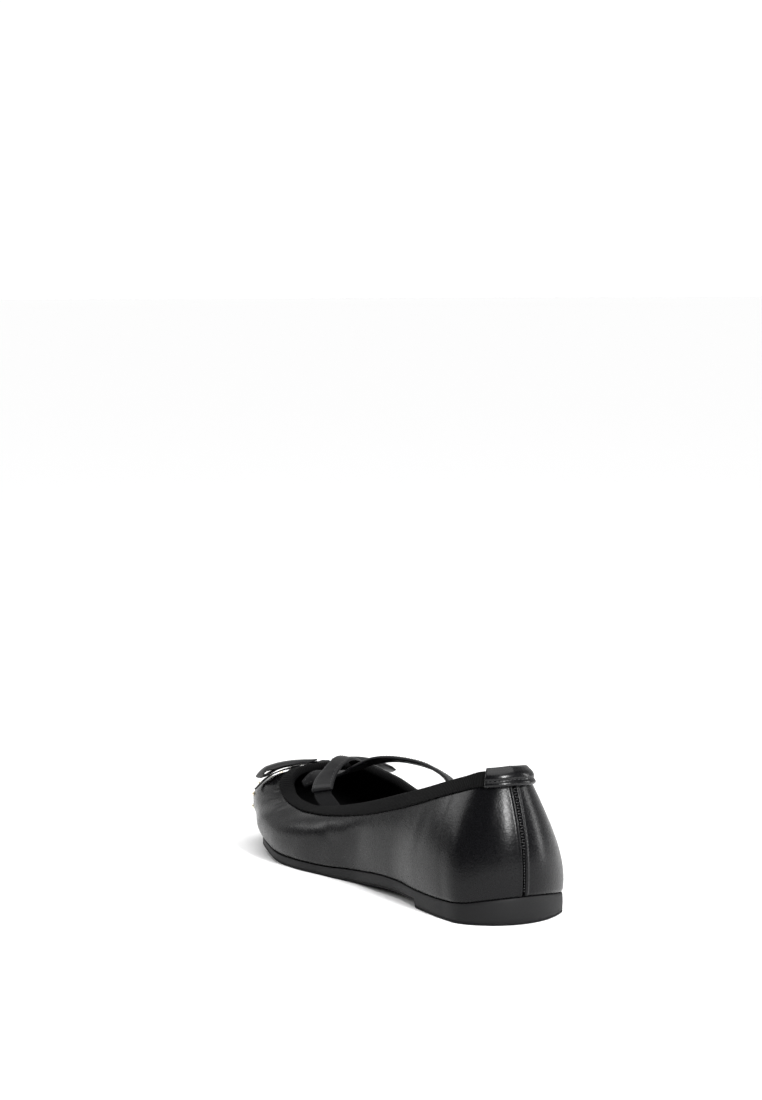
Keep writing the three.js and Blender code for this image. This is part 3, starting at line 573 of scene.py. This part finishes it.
def addTab():
    near = 0.002
    width = float(np.linalg.norm(collarEdge(np.array([near])) - collarEdge(np.array([-near]))))
    reach = heelTab["length"] * near / width
    us = np.linspace(-reach, reach, 90)
    stitchAt = 1 - heelTab["stitch"] / heelTab["height"]

    def swell(s):
        above = np.clip((s - stitchAt) / (1 - stitchAt), 0, 1)
        below = np.clip(s / stitchAt, 0, 1)
        puff = heelTab["puff"] * np.sin(math.pi * above ** 0.8) ** 0.8 if s > stitchAt else 0
        hem = heelTab["hem"] * np.sin(math.pi * below)
        return puff + hem - 0.5 * np.exp(-(s / 0.05) ** 2) - 0.3 * np.exp(-((s - stitchAt) / 0.04) ** 2)
    clear = tape["thick"] + 2 * tape["clear"]
    section = foldSection(heelTab["height"], heelTab["height"], clear, heelTab["thick"], swell)
    section[-1] = (heelTab["height"], 0.35)
    section[0] = (heelTab["height"], section[0][1] - 0.7)
    points = sweepFold(us, section)
    ends = np.clip((1 - np.abs(np.linspace(-1, 1, 90))) / 0.05, 0, 1)[:, None, None]
    middle = points.mean(1, keepdims=True)
    outer = clear + heelTab["thick"] * 0.4
    inner = -shoe["wall"] - clear - heelTab["thick"] * 0.5
    core = sweepFold(us, [(d, min(max(o, inner), outer)) for d, o in section])
    points = core + (points - core) * (0.55 + 0.45 * np.sqrt(ends))
    piece = gridPiece("heelTabFold", points, False, True, [tabLeather], caps=True)
    return finishPiece(piece, "upper_leather", "heel_tab")


# Centripetal spline through points, its parameter even from point to point
def carriedLine(points, shares):
    points = np.asarray(points, float)
    padded = np.vstack([2 * points[0] - points[1], points, 2 * points[-1] - points[-2]])
    place = np.clip(shares, 0, 1) * (len(points) - 1)
    k = np.minimum(np.floor(place).astype(int), len(points) - 2)
    w = (place - k)[:, None]
    a, b, c, d = [padded[k + n] for n in range(4)]
    t0, t1, t2 = [np.maximum(np.linalg.norm(q - p, axis=1), 1e-4)[:, None] ** 0.5 for p, q in ((a, b), (b, c), (c, d))]
    m1 = ((b - a) / t0 - (c - a) / (t0 + t1) + (c - b) / t1) * t1
    m2 = ((c - b) / t1 - (d - b) / (t1 + t2) + (d - c) / t2) * t1
    return b + m1 * w + (-3 * b + 3 * c - 2 * m1 - m2) * w ** 2 + (2 * b - 2 * c + m1 + m2) * w ** 3


# Band along a line: a flattened round section whose face points along faces
def bandPoints(line, faces, widths, thick, around=28, crown=0.0):
    along = unit(np.gradient(line, axis=0))
    faces = unit(faces - along * np.einsum("nd,nd->n", faces, along)[:, None])
    side = np.cross(along, faces)
    a = np.linspace(0, 2 * math.pi, around, endpoint=False)
    across = np.sign(np.cos(a)) * np.abs(np.cos(a)) ** 0.3
    up = np.sign(np.sin(a)) * np.abs(np.sin(a)) ** 0.7
    lift = crown * (1 - across ** 2)
    return (line[:, None] + side[:, None] * (across[None, :, None] * (widths / 2)[:, None, None])
            + faces[:, None] * ((up * np.asarray(thick).reshape(-1, 1) / 2 + lift)[..., None]))


def runUvs(line, around, width):
    walked = np.r_[0, np.cumsum(np.linalg.norm(np.diff(line, axis=0), axis=1))]
    across = np.arange(around + 1) * width / around
    return np.stack(np.broadcast_arrays(walked[:, None] / 100, across[None, :] / 100), -1)


straps = {"width": 10.5, "thick": 1.8, "elasticWidth": 8.5, "elasticThick": 1.2, "peak": 54, "grip": 0.12,
          "taper": 0.6, "anchor": 7, "drop": 1.5, "elasticShare": 0.22, "tuck": 0.08}
frontStrap = {
    "from": {"u": 0.313, "clear": 0.3, "grip": True}, "to": {"u": 0.552, "clear": 1.5, "grip": False},
    "along": [0.245, 0.356, 0.464, 0.554, 0.627, 0.71, 0.81, 0.91],
    "aside": [0.132, 0.153, 0.154, 0.132, 0.097, 0.062, 0.034, 0.01],
    "up": [0.28, 0.37, 0.48, 0.6, 0.715, 0.78, 0.74, 0.64],
}
rearStrap = {
    "from": {"u": 0.431, "clear": 1.5, "grip": False}, "to": {"u": 0.762, "clear": 2.3, "grip": True},
    "along": [0.053, 0.124, 0.18, 0.262, 0.348, 0.466, 0.597, 0.73, 0.833, 0.932],
    "aside": [0.046, 0.096, 0.125, 0.14, 0.146, 0.13, 0.111, 0.092, 0.06, 0.022],
    "up": [0.4, 0.45, 0.5, 0.66, 0.8, 0.9, 0.93, 0.9, 0.84, 0.72],
}
# Degrees that the front strap rolls towards the heel, by shares of its line
bankRows = {"at": [0.08, 0.2, 0.3, 0.48], "bank": [0, 28, 26, 0]}


def anchorSpots(end):
    off = shoe["wall"] + tape["thick"] + 2 * shoe["gap"] + end["clear"] + straps["thick"] / 2
    if end["grip"]:
        return [offWall(end["u"], straps["anchor"], -off), offWall(end["u"], 0, -off)]
    u = np.array([end["u"]])
    plan = (collarEdge(u) - planNormal(collarEdge, u) * off)[0]
    return [np.r_[plan, collarHeight(u)[0] - straps["drop"]]]


# A strap's spots: its anchors, and between them a bow to the side and over the instep
def strapSpots(strap):
    start, end = anchorSpots(strap["from"]), anchorSpots(strap["to"])[::-1]
    low, high = start[-1], end[0]
    chord = (high - low) * [1, 1, 0]
    aside = np.array([-chord[1], chord[0], 0])
    arch = low + (high - low) * np.array(strap["along"])[:, None] + aside * np.array(strap["aside"])[:, None]
    arch[:, 2] = shoe["sideHeight"] + np.array(strap["up"]) * (straps["peak"] - shoe["sideHeight"])
    return np.vstack([start, arch, end])


# Faces of a strap: away from the middle of the foot, turning to the wall's normal at its anchors
def strapFaces(strap, line, shares):
    faces = unit(np.stack([np.zeros(len(line)), line[:, 1], line[:, 2] - shoe["heelLift"]], -1))
    for end, place in ((strap["from"], shares), (strap["to"], 1 - shares)):
        hold = np.clip(2 * (1 - place / straps["grip"]), 0, 1)[:, None]
        faces = faces * (1 - hold) + wallNormal(end["u"]) * hold
    faces = unit(faces)
    if strap is frontStrap:
        along = unit(np.gradient(line, axis=0))
        bank = np.radians(np.interp(shares, bankRows["at"], bankRows["bank"]))[:, None]
        faces = faces * np.cos(bank) + np.cross(along, faces) * np.sin(bank)
    return unit(faces)


def strapPart(strap, start, stop, count, drop, width):
    shares = np.linspace(start, stop, count)
    line = carriedLine(strapSpots(strap), shares)
    faces = strapFaces(strap, line, shares)
    line = line - faces * (drop * np.clip(2 * (shares - start) / (stop - start), 0, 1))[:, None]
    place = shares if strap["to"]["grip"] else 1 - shares
    widths = width * (1 - straps["taper"] * np.clip(1 - place / straps["grip"], 0, 1))
    return line, faces, widths


# Stitches: short spindles along a line, each with two pointed ends and three rings
def stitchPiece(name, spots, directions, lengths, thick, mat):
    rings = [(-0.5, 0), (-0.36, 0.8), (0, 1), (0.36, 0.8), (0.5, 0)]
    around = np.linspace(0, 2 * math.pi, 6, endpoint=False)
    directions = unit(directions)
    side = unit(np.cross(directions, np.broadcast_to([0.31, 0.17, 0.93], directions.shape)))
    up = np.cross(directions, side)
    template = []
    for place, fat in rings:
        if fat == 0:
            template.append((place, 0, 0))
        else:
            template += [(place, fat * math.cos(a), fat * math.sin(a)) for a in around]
    template = np.array(template)
    fan = [(0, 1 + (k + 1) % 6, 1 + k) for k in range(6)]
    fan += [(1 + 6 * r + k, 1 + 6 * r + (k + 1) % 6, 7 + 6 * r + (k + 1) % 6, 7 + 6 * r + k) for r in range(2) for k in range(6)]
    fan += [(19, 13 + k, 13 + (k + 1) % 6) for k in range(6)]
    points = (spots[:, None] + directions[:, None] * template[None, :, :1] * np.asarray(lengths).reshape(-1, 1, 1)
              + side[:, None] * template[None, :, 1:2] * thick / 2 + up[:, None] * template[None, :, 2:] * thick / 2)
    mesh = bpy.data.meshes.new(name)
    polygons = [[corner + 20 * n for corner in face] for n in range(len(spots)) for face in fan]
    mesh.from_pydata(((points.reshape(-1, 3) - [shoe["seatBack"], 0, 0]) / 1000).tolist(), [], polygons)
    mesh.materials.append(mat)
    mesh.polygons.foreach_set("use_smooth", np.ones(len(polygons), bool))
    mesh.update()
    piece = bpy.data.objects.new(name, mesh)
    bpy.context.scene.collection.objects.link(piece)
    return piece


# Spots at an even pitch along a fine line, with the direction there
def evenSpots(line, pitch, trim=0.0):
    walked = np.r_[0, np.cumsum(np.linalg.norm(np.diff(line, axis=0), axis=1))]
    places = np.arange(trim + pitch / 2, walked[-1] - trim, pitch)
    spots = np.stack([np.interp(places, walked, line[:, k]) for k in range(3)], -1)
    ahead = np.stack([np.interp(places + pitch / 4, walked, line[:, k]) for k in range(3)], -1)
    return spots, unit(ahead - spots + 1e-9)


def addStraps():
    spots, ways = [], []
    for name, node, strap, start in (("frontStrapBand", "front_strap", frontStrap, straps["elasticShare"]),
                                     ("rearStrapBand", "rear_strap", rearStrap, 0)):
        line, faces, widths = strapPart(strap, start, 1, 180, 0, straps["width"])
        walked = np.r_[0, np.cumsum(np.linalg.norm(np.diff(line, axis=0), axis=1))]
        fold = 1 + (0.35 * np.exp(-(walked / 4) ** 4) if node == "front_strap" else 0 * walked)
        thick = straps["thick"] * fold * np.sqrt(np.clip((walked + 0.1) / 0.9, 0.05, 1))
        points = bandPoints(line, faces, widths, thick, 32, 0.12)
        finishPiece(gridPiece(name, points, False, True, [strapLeather], caps=True), "upper_leather", node)
        along = unit(np.gradient(line, axis=0))
        side = np.cross(along, unit(faces - along * np.einsum("nd,nd->n", faces, along)[:, None]))
        for way in (-1, 1):
            run = line + side * (way * (widths / 2 - 1.5))[:, None] + faces * (thick / 2 + 0.02)[:, None]
            s, d = evenSpots(run, 2.3, 1.5)
            spots.append(s)
            ways.append(d)
    line, faces, widths = strapPart(frontStrap, 0, straps["elasticShare"] + straps["tuck"], 90,
                                    (straps["thick"] + straps["elasticThick"]) / 2 + shoe["gap"], straps["elasticWidth"])
    points = bandPoints(line, faces, widths, straps["elasticThick"], 24)
    piece = gridPiece("frontStrapElastic", points, False, True, [elasticTape], uvs=runUvs(line, 24, 10), caps=True)
    finishPiece(piece, "tape", "front_strap_elastic")
    finishPiece(stitchPiece("strapStitches", np.vstack(spots), np.vstack(ways), 1.6, 0.34, blackThread), "upper_leather")


bow = {"loop": 36, "tail": 38, "turn": 8, "sweep": 4, "aside": -5, "droop": 7, "ahead": 3,
       "ribbon": 14, "thick": 0.9, "height": 2.4, "set": 10.5, "knot": (5, 8, 3.3), "pleats": 0.2, "crown": 2.4}
loopRows = {
    "out": [0.13, 0.3, 0.52, 0.76, 0.93, 1, 0.94, 0.76, 0.52, 0.3, 0.13],
    "up": [0.74, 0.96, 1.12, 1.08, 0.84, 0.5, 0.18, 0.16, 0.18, 0.18, 0.18],
    "wide": [0.42, 0.7, 0.95, 1, 0.94, 0.9, 0.9, 0.94, 0.9, 0.66, 0.42],
    "archEnd": 0.44,
}
# The inner loop stands fuller towards its end
innerRows = {**loopRows, "up": [0.74, 0.96, 1.16, 1.5, 1.9, 1.25, 0.3, 0.16, 0.18, 0.18, 0.18],
             "archEnd": 0.5}
tailRows = {
    "out": [0.12, 0.3, 0.55, 0.8, 1],
    "up": [-0.42, -0.42, -0.42, -0.8, -1.48],
    "wide": [0.36, 0.56, 0.7, 0.56, 0.14],
}


# Bow: bands out from the knot that droop with the fourth power of the way out; the pleats fade outwards
def addBow():
    clear = shoe["gap"] + bow["knot"][2] / 2
    seat = offWall(0.5, bow["set"], clear)
    face = (seat - offWall(0.5, bow["set"], 0)) / clear
    seat = seat + [0, bow["aside"], 0]
    ahead = np.cross([0, 1, 0], face)
    for side, way, rows in (("Inner", 1, innerRows), ("Outer", -1, loopRows)):
        turn = math.radians(bow["turn"] * way - bow["sweep"])
        out = np.array([math.sin(turn), way * math.cos(turn), 0])

        def place(spots, length):
            share = np.array(spots["out"])[:, None]
            lift = np.array(spots["up"])[:, None] * bow["height"] - bow["droop"] * share ** 4
            return seat + out * share * length + face * lift
        shares = np.linspace(0, 1, 150)
        loop = place(rows, bow["loop"])
        line = carriedLine(loop, shares)
        along = unit(np.gradient(line, axis=0))
        faces = unit(np.cross(along, np.cross(face, out)))
        spread = np.linspace(0, 1, len(loopRows["wide"]))
        widths = np.interp(shares, spread, loopRows["wide"]) * bow["ribbon"]
        crown = bow["crown"] * np.clip((rows["archEnd"] - shares) / 0.14, 0.12, 1) * np.clip(shares / 0.12, 0, 1)
        piece = ribbon(f"bowLoop{side}", line, faces, widths, np.minimum(shares, 1 - shares) * 2, crown)
        finishPiece(piece, "tape", f"bow_loop_{side.lower()}")
        tail = place(tailRows, bow["tail"]) + ahead * np.array(tailRows["out"])[:, None] * bow["ahead"]
        line = carriedLine(tail, np.linspace(0, 1, 70))
        widths = np.interp(np.linspace(0, 1, 70), np.linspace(0, 1, 5), tailRows["wide"]) * bow["ribbon"]
        faces = np.broadcast_to(face, line.shape)
        piece = ribbon(f"bowTail{side}", line, faces, widths, np.linspace(0.6, 1, 70))
        finishPiece(piece, "tape", f"bow_tail_{side.lower()}")
    finishPiece(addKnot(seat), "tape", "bow_knot")


# Ribbon: a thin band with pleats along it that fade with the way out, and rolled edges
def ribbon(name, line, faces, widths, outward, crown=0.0):
    around = 48
    points = bandPoints(line, faces, widths, bow["thick"] * 0.8, around)
    a = np.linspace(0, 2 * math.pi, around, endpoint=False)
    across = np.sign(np.cos(a)) * np.abs(np.cos(a)) ** 0.3
    pleat = bow["pleats"] * np.cos(across * 3 * math.pi)[None, :] * np.exp(-3 * outward)[:, None]
    along = unit(np.gradient(line, axis=0))
    lifted = unit(faces - along * np.einsum("nd,nd->n", faces, along)[:, None])
    arch = -np.broadcast_to(crown, len(line))[:, None] * (np.abs(across) ** 2.5)[None, :]
    return gridPiece(name, points + lifted[:, None] * (pleat + arch)[..., None], False, True, [bowRibbon], caps=True)


# Knot: a flattened ball with the folds of the ribbon running over it across its length
def addKnot(seat):
    wide, long, tall = bow["knot"]
    polar = np.linspace(0.02, math.pi - 0.02, 40)[:, None]
    round_ = np.linspace(0, 2 * math.pi, 64, endpoint=False)[None, :]
    folds = 1 + 0.05 * np.cos(7 * polar + 0.6 * np.sin(2 * round_))
    y = -np.cos(polar) * long / 2 * np.ones_like(round_)
    radius = np.sin(polar) ** 0.75 * folds
    points = np.stack([seat[0] + radius * np.cos(round_) * wide / 2, seat[1] + y, seat[2] + radius * np.sin(round_) * tall / 2], -1)
    return gridPiece("bowKnot", points, False, True, [bowRibbon], caps=True)


studs = {"diameter": 2.4, "height": 1.1, "line": 0.91, "side": 0.2, "count": 13, "margin": 1.2}


# Studs: where the wall crosses one plane over the length, at an even pitch from side to side
def addStuds():
    plane = studs["line"] * shoe["length"]
    us = np.linspace(0.38, 0.62, 481)
    low, high = np.zeros(len(us)), np.ones(len(us))
    for _ in range(18):
        middle = (low + high) / 2
        ahead = wallPoints(us, middle[:, None])[0][:, 0, 0] > plane
        low, high = np.where(ahead, middle, low), np.where(ahead, high, middle)
    points, normals, _ = wallFrames(us, low[:, None])
    keep = (wallPoints(us, np.zeros((len(us), 1)))[0][:, 0, 0] > plane) & (low > studs["side"])
    line, faces = points[keep, 0], normals[keep, 0]
    walked = np.r_[0, np.cumsum(np.linalg.norm(np.diff(line, axis=0), axis=1))]
    places = np.linspace(studs["margin"], walked[-1] - studs["margin"], studs["count"])
    spots = np.stack([np.interp(places, walked, line[:, k]) for k in range(3)], -1)
    ups = unit(np.stack([np.interp(places, walked, faces[:, k]) for k in range(3)], -1))
    r, h = studs["diameter"] / 2, studs["height"]
    profile = np.array([(0.02, 0), (r, 0), (r, 0.22), (r * 0.9, 0.3)] + [(r * 0.86 * math.cos(t), 0.3 + (h - 0.3) * math.sin(t)) for t in np.linspace(0.1, 1.54, 7)])
    a = np.linspace(0, 2 * math.pi, 24, endpoint=False)
    for n, (spot, up) in enumerate(zip(spots, ups), 1):
        side = unit(np.cross(up, [1.0, 0, 0]))
        front = np.cross(side, up)
        points = (spot + up * 0.1 + side * (profile[:, :1, None] * np.cos(a)[None, :, None])
                  + front * (profile[:, :1, None] * np.sin(a)[None, :, None]) + up * profile[:, 1][:, None, None])
        finishPiece(gridPiece(f"toeStud{n:02d}", points, False, True, [paleGold], caps=True), "studs", f"stud_{n:02d}")


# Stitches of the back seam: close slanted bars over the trough in its upper part, small ones below
seamStitches = {"from": 8.5, "barsTo": 37, "pitch": 1.3, "bar": 1.7, "slant": 0.3, "small": 0.95, "thick": 0.5}


def addSeamStitches():
    length = wallPoints(np.array([0.0]), np.array([[1.0]]))[1][0]
    depths = np.arange(seamStitches["from"], length - 2, seamStitches["pitch"])
    vs = (1 - depths / length)[None, :]
    points, normals, _ = wallFrames(np.array([0.0]), vs)
    aside = unit(wallPoints(np.array([0.004]), vs)[0] - wallPoints(np.array([-0.004]), vs)[0])[0]
    down = unit(np.gradient(points[0], axis=0))
    bars = depths < seamStitches["barsTo"]
    slant = np.where(np.arange(len(depths)) % 2 == 0, 1, -1) * seamStitches["slant"]
    ways = np.where(bars[:, None], aside + down * slant[:, None], down)
    lengths = np.where(bars, seamStitches["bar"], seamStitches["small"])
    lift = np.where(bars, 0.16, -0.2)
    spots = points[0] + normals[0] * lift[:, None]
    finishPiece(stitchPiece("backSeamStitches", spots, ways, lengths, seamStitches["thick"], waxedThread), "upper_leather")


def addTabStitches():
    near = 0.002
    width = float(np.linalg.norm(collarEdge(np.array([near])) - collarEdge(np.array([-near]))))
    reach = heelTab["length"] * near / width * 0.94
    us = np.linspace(-reach, reach, 120)
    lengths = wallPoints(us, np.ones((120, 1)))[1]
    points, normals, _ = wallFrames(us, 1 - np.full((120, 1), heelTab["stitch"]) / lengths[:, None])
    off = tape["thick"] + 2 * tape["clear"] + heelTab["thick"] - 0.12
    spots, ways = evenSpots(points[:, 0] + normals[:, 0] * off, 2.1)
    finishPiece(stitchPiece("tabStitches", spots, ways, 1.5, 0.4, blackThread), "upper_leather")


print("upper")
addUpper()
print("sole and insole")
addSole()
addInsole()
print("topline binding and heel tab")
addTape()
addTab()
print("straps, bow and studs")
addStraps()
addBow()
addStuds()
print("stitches")
addSeamStitches()
addTabStitches()

# Camera: low behind the heel on the inner side. The aim is a spot of the shoe that the photograph shows
# right of and below the middle of its 762 by 1100 pixels.
view = {"turn": 28.009, "lift": 11.106, "focal": 2951.3, "away": 1.4175, "aim": (0.0655, 0, 0.0189),
        "aimPixel": (426.05, 847.1), "size": (762, 1100)}


def addCamera():
    turn, lift = math.radians(view["turn"]), math.radians(view["lift"])
    back = Vector((-math.cos(turn) * math.cos(lift), math.sin(turn) * math.cos(lift), math.sin(lift)))
    across = view["aimPixel"][0] - view["size"][0] / 2
    below = view["aimPixel"][1] - view["size"][1] / 2
    pitch = math.asin(-back.z) + math.atan2(below, view["focal"])
    yaw = math.atan2(-back.y, -back.x) + math.atan2(across, math.hypot(view["focal"], below))
    forward = Vector((math.cos(pitch) * math.cos(yaw), math.cos(pitch) * math.sin(yaw), math.sin(pitch)))
    right = forward.cross(Vector((0, 0, 1))).normalized()
    up = right.cross(forward)
    lens = bpy.data.cameras.new("photoView")
    lens.sensor_fit = "VERTICAL"
    lens.sensor_height = 36
    lens.lens = view["focal"] * 36 / view["size"][1]
    lens.clip_start, lens.clip_end = 0.01, 50
    camera = bpy.data.objects.new("photoView", lens)
    camera.matrix_world = Matrix((
        (right.x, up.x, -forward.x, 0), (right.y, up.y, -forward.y, 0), (right.z, up.z, -forward.z, 0), (0, 0, 0, 1)))
    camera.matrix_world.translation = Vector(view["aim"]) + back * view["away"]
    bpy.context.scene.collection.objects.link(camera)
    bpy.context.scene.camera = camera


studio = [
    {"name": "heelLight", "at": (-0.95, -0.03, 0.6), "size": (0.17, 0.36), "power": 17},
    {"name": "sideLight", "at": (0.75, 0.8, 0.55), "size": (0.6, 0.5), "power": 4.4},
    {"name": "outerLight", "at": (-0.35, -0.95, 0.3), "size": (0.15, 0.6), "power": 4},
]


# The room is white behind the shoe and darker behind the camera, by the way a ray goes
room = {"bright": (0.88, -0.47, 0), "low": 0.05, "high": 1.05, "turn": (0.2, 0.85), "sun": 2.5, "sunAngle": 60}


def addStudio():
    sun = bpy.data.lights.new("overhead", "SUN")
    sun.energy, sun.angle = room["sun"], math.radians(room["sunAngle"])
    bpy.context.scene.collection.objects.link(bpy.data.objects.new("overhead", sun))
    for lamp in studio:
        light = bpy.data.lights.new(lamp["name"], "AREA")
        light.shape = "RECTANGLE"
        light.size, light.size_y = lamp["size"]
        light.energy = lamp["power"]
        holder = bpy.data.objects.new(lamp["name"], light)
        holder.location = lamp["at"]
        aim = Vector((0.06, 0, 0.03)) - Vector(lamp["at"])
        holder.rotation_euler = aim.to_track_quat("-Z", "Y").to_euler()
        bpy.context.scene.collection.objects.link(holder)
    world = bpy.data.worlds.new("paleRoom")
    world.use_nodes = True
    tree = world.node_tree
    way = addNode(tree, "ShaderNodeTexCoord").outputs["Generated"]
    facing = addNode(tree, "ShaderNodeVectorMath", {0: way, 1: room["bright"]}, operation="DOT_PRODUCT").outputs["Value"]
    level = rampFrom(tree, facing, room["low"], room["high"], *room["turn"])
    tree.links.new(level, tree.nodes["Background"].inputs["Strength"])
    tree.nodes["Background"].inputs["Color"].default_value = (1, 1, 1, 1)
    bpy.context.scene.world = world
    bpy.context.scene.view_settings.view_transform = "Standard"
    size = 30
    mesh = bpy.data.meshes.new("paleFloor")
    mesh.from_pydata([(-size, -size, 0), (size, -size, 0), (size, size, 0), (-size, size, 0)], [], [(0, 1, 2, 3)])
    mesh.materials.append(newMaterial("paleFloor", Base_Color=(0.95, 0.95, 0.95, 1), Roughness=1, Specular_IOR_Level=0)[0])
    floor = bpy.data.objects.new("paleFloor", mesh)
    bpy.context.scene.collection.objects.link(floor)


print("camera and studio")
addCamera()
addStudio()
